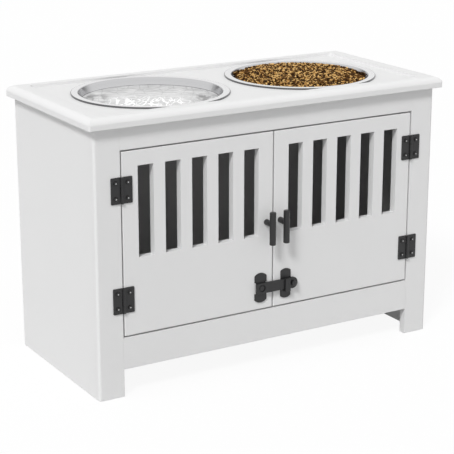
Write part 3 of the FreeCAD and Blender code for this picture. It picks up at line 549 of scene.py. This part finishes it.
def makeWaterMaterial():
    made = waterServing
    material = bpy.data.materials.new("clearWater")
    tree = emptyTree(material)
    place = addNode(tree, "ShaderNodeTexCoord").outputs["Object"]
    middle = bowlMiddle("left_bowl")
    centred = addNode(tree, "ShaderNodeVectorMath", {0: place, 1: (middle.x, middle.y, middle.z)},
                      operation="SUBTRACT").outputs[0]
    turned = addNode(tree, "ShaderNodeVectorRotate", {"Vector": centred, "Angle": math.radians(-made["run"])},
                     rotation_type="Z_AXIS").outputs[0]
    apart = addNode(tree, "ShaderNodeSeparateXYZ", {"Vector": turned}).outputs
    drawn = addNode(tree, "ShaderNodeMapping",
                    {"Vector": turned, "Scale": (1, made["stretch"], 0)}).outputs[0]
    wideWarp, fineWarp = made["streakWarp"]
    wideWidth, fineWidth = made["streakWidth"]
    wide = streakMask(tree, drawn, made["streakScale"], wideWarp, wideWidth)
    fine = streakMask(tree, drawn, made["streakScale"] * made["fineTimes"], fineWarp, fineWidth)
    broken = addNode(tree, "ShaderNodeTexNoise", {"Vector": drawn, "Scale": 70, "Detail": 2}).outputs["Fac"]
    # painted highlight streaks gather at the front, painted dark reflections lie at both ends of them
    aside = compute(tree, "ABSOLUTE", apart["X"])
    forward = spread(tree, apart["Y"], 1.0, 0.0, *made["streakReach"])
    between = spread(tree, aside, 1.0, 0.0, *made["streakHalf"])
    gathered = compute(tree, "MULTIPLY", forward, between)
    streaks = compute(tree, "MAXIMUM", wide, compute(tree, "MULTIPLY", fine, made["fineShare"]))
    lit = compute(tree, "MULTIPLY", compute(tree, "MULTIPLY", streaks, gathered),
                  spread(tree, broken, 0.0, 1.0, *made["streakBreaks"]))
    # painted reflection: dark patches toward both sides of the streaks
    outward = spread(tree, aside, 0.0, 1.0, *made["slopeStart"])
    nearSide = spread(tree, apart["Y"], 1.0, 0.0, *made["slopeReach"])
    darkReflectionMask = compute(tree, "MULTIPLY", compute(tree, "MULTIPLY", outward, nearSide),
                     spread(tree, broken, 0.0, made["slopeShare"], *made["slopeBreaks"]))
    elsewhere = compute(tree, "SUBTRACT", 1.0, gathered)
    lines = compute(tree, "MULTIPLY", elsewhere, compute(tree, "MULTIPLY", wide, made["lineShade"]))
    darkened = compute(tree, "MAXIMUM", darkReflectionMask, lines)
    flat = addNode(tree, "ShaderNodeCombineXYZ", {"X": apart["X"], "Y": apart["Y"]}).outputs[0]
    radius = addNode(tree, "ShaderNodeVectorMath", {0: flat}, operation="LENGTH").outputs["Value"]
    # painted dark reflection line along the wall's edge of the water
    shore = wallRadius(made["drop"]) - bowlWall["clear"]
    atShore = spread(tree, radius, 0.0, 1.0, shore - made["shoreWidth"], shore)
    patches = addNode(tree, "ShaderNodeTexNoise", {"Vector": place, "Scale": 26, "Detail": 3}).outputs["Fac"]
    calm = mixColours(tree, spread(tree, patches, 0.0, 1.0, 0.35, 0.65), made["shade"], made["colour"])
    ripple = addNode(tree, "ShaderNodeBump", {"Strength": 0.3, "Distance": 0.002, "Height": lit})
    rippled = mixColours(tree, lit, mixColours(tree, darkened, calm, made["darkReflection"]), made["streak"])
    shader = addNode(tree, "ShaderNodeBsdfPrincipled", {
        "Base Color": mixColours(tree, atShore, rippled, made["shoreLine"]),
        "Roughness": spread(tree, patches, *made["roughness"]),
        # painted glow: the highlight streaks also glow, though the water is no lamp
        "Emission Color": mixColours(tree, lit, grey(0.0), made["glint"]),
        "Emission Strength": 1.0,
        "IOR": 1.333,
        "Transmission Weight": made["clearness"],
        "Normal": ripple.outputs["Normal"],
    })
    finishMaterial(tree, shader.outputs["BSDF"])
    return material


def makeWater():
    made = waterServing
    drop = made["drop"]
    points = insideProfile(drop)
    radius = points[-1].x
    for ring in range(1, made["rings"] + 1):
        points.append(Vector((radius * (1 - ring / made["rings"]), 0, -drop)))
    bm = spinProfile(points, made["steps"])
    for vert in bm.verts:
        if vert.co.z > -drop - 1e-6 and math.hypot(vert.co.x, vert.co.y) < radius - 1e-5:
            vert.co.z += rippleHeight(vert.co.x, vert.co.y, radius)
    bmesh.ops.translate(bm, verts=bm.verts, vec=bowlMiddle("left_bowl"))
    piece = newPiece("water_serving", finishMesh(bm, "waterServing"), makeWaterMaterial())
    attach(piece, "left_bowl")
    print("water poured:", len(piece.data.polygons), "faces")


makeWater()


# dry food in the right bowl

kibbleServing = {
    "seed": 7,
    "shapes": 4,
    "lumps": 0.5,
    "lumpScale": 3.4,
    "spacing": 0.0039,
    "jitter": 0.35,          # of the spacing
    "lift": (-0.0012, 0.0008),
    "looseShare": 0.25,      # pieces that lie on top of the layer
    "looseLift": 0.0014,
    "reach": 0.1030,         # the heap's outer edge, just under the rim
    "wallRoom": 0.0036,      # from the bowl's wall to the middle of the nearest pieces
    "run": 59.0,             # degrees, the ridge of the heap
    "middleDrop": 0.0038,    # rim top to the middle of the heap
    "backDrop": 0.0016,
    "frontDrop": 0.0080,
    "sideDrop": 0.0085,
    "sidePower": 6,
    "uneven": 0.0010,
    "unevenScale": 22,
    "bedDrop": 0.0025,       # heap of pieces to the bed that fills the bowl under it
    "bedEdge": 0.0030,
    "bedRings": 24,
    "bedSteps": 96,
    "underRim": 0.0004,      # no piece stands above the rim
    "size": (0.0082, 0.0038, 0.0032),
    "sizeSpread": 0.20,
    "tilt": 0.45,
    "light": (1.00, 0.65, 0.25, 1),
    "middle": (0.42, 0.18, 0.032, 1),
    # near black: darker food and painted shade of the gaps, also on the flanks and the bed
    "dark": (0.012, 0.005, 0.001, 1),
    "darkTone": 0.3,
    "lightTone": 0.60,
    "darkShare": 0.55,
    "darkEnds": 0.26,        # more dark pieces at both ends, painted shade low under the rim
    "sideShade": 0.36,       # painted shade: flanks of a piece darker against its top, as if lit from above
    "speckles": 0.22,
    "roughness": (0.55, 0.80),
    "blotchScale": 260,
    "grainScale": 1600,
}
goldenTurn = 0.618034


def alongHeap(spot):
    # how far ahead and aside of the heap's middle, 1 at its edge
    made = kibbleServing
    turn = math.radians(made["run"])
    ahead = Vector((math.cos(turn), math.sin(turn))).dot(spot) / made["reach"]
    aside = Vector((-math.sin(turn), math.cos(turn))).dot(spot) / made["reach"]
    return ahead, abs(aside)


def heapDrop(spot):
    # a ridge that is high at the back and falls away to both sides
    made = kibbleServing
    ahead, aside = alongHeap(spot)
    end = made["backDrop"] if ahead > 0 else made["frontDrop"]
    fall = (end - made["middleDrop"]) * ahead ** 2
    fall += (made["sideDrop"] - made["middleDrop"]) * aside ** made["sidePower"]
    uneven = made["uneven"] * noise.noise(Vector((spot.x, spot.y, 0.3)) * made["unevenScale"])
    return made["middleDrop"] + fall + uneven


def makeKibbleShape(seed):
    # a slightly lumpy pellet of twenty faces
    made = kibbleServing
    bm = bmesh.new()
    bmesh.ops.create_icosphere(bm, subdivisions=1, radius=0.5)
    for vert in bm.verts:
        place = vert.co * made["lumpScale"] + Vector((seed * 3.1, seed, 0))
        vert.co *= 1 + made["lumps"] * noise.noise(place)
    mesh = bpy.data.meshes.new(f"kibbleShape{seed}")
    bm.to_mesh(mesh)
    bm.free()
    mesh.attributes.new("kibbleTone", "FLOAT", "FACE")
    return mesh


def makeKibbleMaterial():
    made = kibbleServing
    material = bpy.data.materials.new("bakedKibble")
    tree = emptyTree(material)
    tone = addNode(tree, "ShaderNodeAttribute", attribute_name="kibbleTone").outputs["Fac"]
    blotch, grain = useGrain(tree, made["blotchScale"], made["grainScale"])
    ramp = addNode(tree, "ShaderNodeValToRGB", {"Fac": tone})
    ramp.color_ramp.elements[0].color = made["dark"]
    ramp.color_ramp.elements[1].color = made["light"]
    ramp.color_ramp.elements.new(0.5).color = made["middle"]
    speckles = spread(tree, blotch, 0.0, made["speckles"])
    speckled = mixColours(tree, speckles, ramp.outputs["Color"], made["dark"])
    # painted shade: flanks darker than the tops, as if lit from above
    facing = addNode(tree, "ShaderNodeNewGeometry").outputs["Normal"]
    upward = addNode(tree, "ShaderNodeSeparateXYZ", {"Vector": facing}).outputs["Z"]
    onTop = spread(tree, upward, made["sideShade"], 1.0, 0.0, 0.85)
    bump = addNode(tree, "ShaderNodeBump", {"Strength": 0.5, "Distance": 0.0008, "Height": grain})
    shader = addNode(tree, "ShaderNodeBsdfPrincipled", {
        "Base Color": mixColours(tree, onTop, made["dark"], speckled),
        "Roughness": spread(tree, grain, *made["roughness"]),
        "Normal": bump.outputs["Normal"],
        "Specular IOR Level": 0.12,
    })
    finishMaterial(tree, shader.outputs["BSDF"])
    return material


def kibbleSpots(chance):
    # a jittered close-packed layer over the heap, then loose pieces on top of it
    made = kibbleServing
    row = 0
    y = -made["reach"]
    while y < made["reach"]:
        x = -made["reach"] + (row % 2) * made["spacing"] / 2
        while x < made["reach"]:
            shake = Vector((chance.uniform(-1, 1), chance.uniform(-1, 1)))
            spot = Vector((x, y)) + shake * made["spacing"] * made["jitter"]
            wall = wallRadius(heapDrop(spot)) - bowlWall["clear"]
            if spot.length < min(made["reach"], wall - made["wallRoom"]):
                yield spot, chance.uniform(*made["lift"])
                if chance.random() < made["looseShare"]:
                    yield spot * 0.98, made["looseLift"]
            x += made["spacing"]
        y += made["spacing"] * 0.866
        row += 1


def makeKibbleBed():
    # a filling of the bowl that follows the heap, so that no steel shows between the pieces; it keeps tone 0,
    # near black, painted shade in the gaps between pieces
    made = kibbleServing
    drop = made["sideDrop"] + made["bedEdge"]
    points = insideProfile(drop)
    radius = points[-1].x
    for ring in range(1, made["bedRings"] + 1):
        points.append(Vector((radius * (1 - ring / made["bedRings"]), 0, -drop)))
    bm = spinProfile(points, made["bedSteps"])
    for vert in bm.verts:
        if vert.co.z > -drop - 1e-6 and vert.co.xy.length < radius - 1e-5:
            vert.co.z = max(vert.co.z, -heapDrop(vert.co.xy) - made["bedDrop"])
    return finishMesh(bm, "kibbleBed")


def makeKibble():
    made = kibbleServing
    chance = random.Random(made["seed"])
    shapes = [makeKibbleShape(seed) for seed in range(made["shapes"])]
    bed = makeKibbleBed()
    bm = bmesh.new()
    bm.faces.layers.float.new("kibbleTone")
    # the bed's faces keep tone 0: near-black painted shade between the pieces
    bm.from_mesh(bed)
    placed = 0
    for spot, lift in kibbleSpots(chance):
        pellet = chance.choice(shapes).copy()
        size = [s * (1 + chance.uniform(-1, 1) * made["sizeSpread"]) for s in made["size"]]
        tilts = chance.gauss(0, made["tilt"]), chance.gauss(0, made["tilt"])
        turn = Euler((*tilts, chance.uniform(0, math.tau)))
        level = -heapDrop(spot) + lift
        pellet.transform(Matrix.LocRotScale(Vector((spot.x, spot.y, level)), turn, Vector(size)))
        above = max(vert.co.z for vert in pellet.vertices) + made["underRim"]
        pellet.transform(Matrix.Translation((0, 0, -max(above, 0))))
        # neighbours differ, so that the tones spread evenly; dark pieces are partly darker food and partly
        # painted shade of the gaps, and the extra ones at both ends are painted shade under the rim
        share = placed * goldenTurn % 1
        if share < made["darkShare"] + made["darkEnds"] * alongHeap(spot)[1] ** 4:
            shade = share * made["darkTone"]
        else:
            shade = made["lightTone"] + (1 - made["lightTone"]) * chance.random()
        pellet.attributes["kibbleTone"].data.foreach_set("value", [shade] * len(pellet.polygons))
        bm.from_mesh(pellet)
        bpy.data.meshes.remove(pellet)
        placed += 1
    bmesh.ops.translate(bm, verts=bm.verts, vec=bowlMiddle("right_bowl"))
    kibble = makeKibbleMaterial()
    dress(kibble, "dry_food")
    piece = newPiece("kibble_serving", finishMesh(bm, "kibbleServing"), kibble)
    for shape in shapes + [bed]:
        bpy.data.meshes.remove(shape)
    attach(piece, "right_bowl")
    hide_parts("dry_food")
    print("kibble heaped:", placed, "pieces,", len(piece.data.polygons), "faces")


makeKibble()


# floor, light and camera

studio = {
    "floorSize": 12.0,
    "floorDrop": 0.0003,
    "floorColour": grey(0.50),
    "floorGlow": 1.08,
    "floorGlowShare": 0.85,
    "horizonLight": 0.67,
    "zenithLight": 0.47,
    "horizonInSteel": 0.25,      # what polished metal sees near the horizon, under the white tent
    "steelBand": (0.04, 0.20),
    "keyStrength": 2.08,
    "keySpread": 14.0,       # degrees, a soft-edged shadow
    "keyTravel": (0.62, 0.47, -0.80),
}


def makeFloor():
    # white to the eye, and a little grey where the part stands in its light
    made = studio
    material = bpy.data.materials.new("paleFloor")
    tree = emptyTree(material)
    path = addNode(tree, "ShaderNodeLightPath").outputs
    seen = compute(tree, "MAXIMUM", compute(tree, "MAXIMUM", path["Is Camera Ray"], path["Is Glossy Ray"]),
                   path["Is Transmission Ray"])
    matt = addNode(tree, "ShaderNodeBsdfDiffuse", {"Color": made["floorColour"]})
    glow = addNode(tree, "ShaderNodeEmission", {"Color": grey(1.0), "Strength": made["floorGlow"]})
    mixed = addNode(tree, "ShaderNodeMixShader", {0: compute(tree, "MULTIPLY", seen, made["floorGlowShare"])})
    tree.links.new(matt.outputs[0], mixed.inputs[1])
    tree.links.new(glow.outputs[0], mixed.inputs[2])
    finishMaterial(tree, mixed.outputs[0])
    bm = bmesh.new()
    bmesh.ops.create_grid(bm, x_segments=1, y_segments=1, size=made["floorSize"] / 2)
    bmesh.ops.translate(bm, verts=bm.verts, vec=(0, 0, -made["floorDrop"]))
    newPiece("studio_floor", finishMesh(bm, "studioFloor"), material)


def makeWorld():
    # a soft tent, brighter at its sides, that looks plain white itself
    made = studio
    world = bpy.data.worlds.new("studioWorld")
    tree = emptyTree(world)
    path = addNode(tree, "ShaderNodeLightPath").outputs
    heading = addNode(tree, "ShaderNodeTexCoord").outputs["Generated"]
    rise = addNode(tree, "ShaderNodeSeparateXYZ", {"Vector": heading}).outputs["Z"]
    tent = addNode(tree, "ShaderNodeMapRange", {
        "Value": rise, "To Min": made["horizonLight"], "To Max": made["zenithLight"]}).outputs["Result"]
    mirrored = spread(tree, rise, made["horizonInSteel"], 1.0, *made["steelBand"])
    seen = compute(tree, "MAXIMUM", path["Is Camera Ray"], path["Is Transmission Ray"])
    soft = addNode(tree, "ShaderNodeMix", {0: path["Is Glossy Ray"], 2: tent, 3: mirrored}, data_type="FLOAT")
    strength = addNode(tree, "ShaderNodeMix", {0: seen, 2: soft.outputs[0], 3: 1.0}, data_type="FLOAT")
    sky = addNode(tree, "ShaderNodeBackground", {"Color": grey(1.0), "Strength": strength.outputs[0]})
    output = addNode(tree, "ShaderNodeOutputWorld")
    tree.links.new(sky.outputs[0], output.inputs["Surface"])
    scene.world = world


def makeKeyLight():
    made = studio
    light = bpy.data.lights.new("keyLight", "SUN")
    light.energy = made["keyStrength"]
    light.angle = math.radians(made["keySpread"])
    lamp = bpy.data.objects.new("keyLight", light)
    lamp.rotation_euler = Vector(made["keyTravel"]).to_track_quat("-Z", "Y").to_euler()
    lamp.visible_glossy = False   # no burnt spot in the polished bowls
    scene.collection.objects.link(lamp)


makeFloor()
makeWorld()
makeKeyLight()
print("studio lit")

viewpoint = {
    "azimuth": -30.82,
    "elevation": 16.63,
    "distance": 2.314,
    "target": (-0.0041, 0.0, 0.1837),
    "lens": 118.4,
}


def makeCamera():
    made = viewpoint
    turn, rise = math.radians(made["azimuth"]), math.radians(made["elevation"])
    back = Vector((math.sin(turn) * math.cos(rise), -math.cos(turn) * math.cos(rise), math.sin(rise)))
    data = bpy.data.cameras.new("photoCamera")
    data.lens = made["lens"]
    data.sensor_width = 36
    camera = bpy.data.objects.new("photoCamera", data)
    camera.location = Vector(made["target"]) + back * made["distance"]
    camera.rotation_euler = (-back).to_track_quat("-Z", "Y").to_euler()
    scene.collection.objects.link(camera)
    scene.camera = camera


makeCamera()
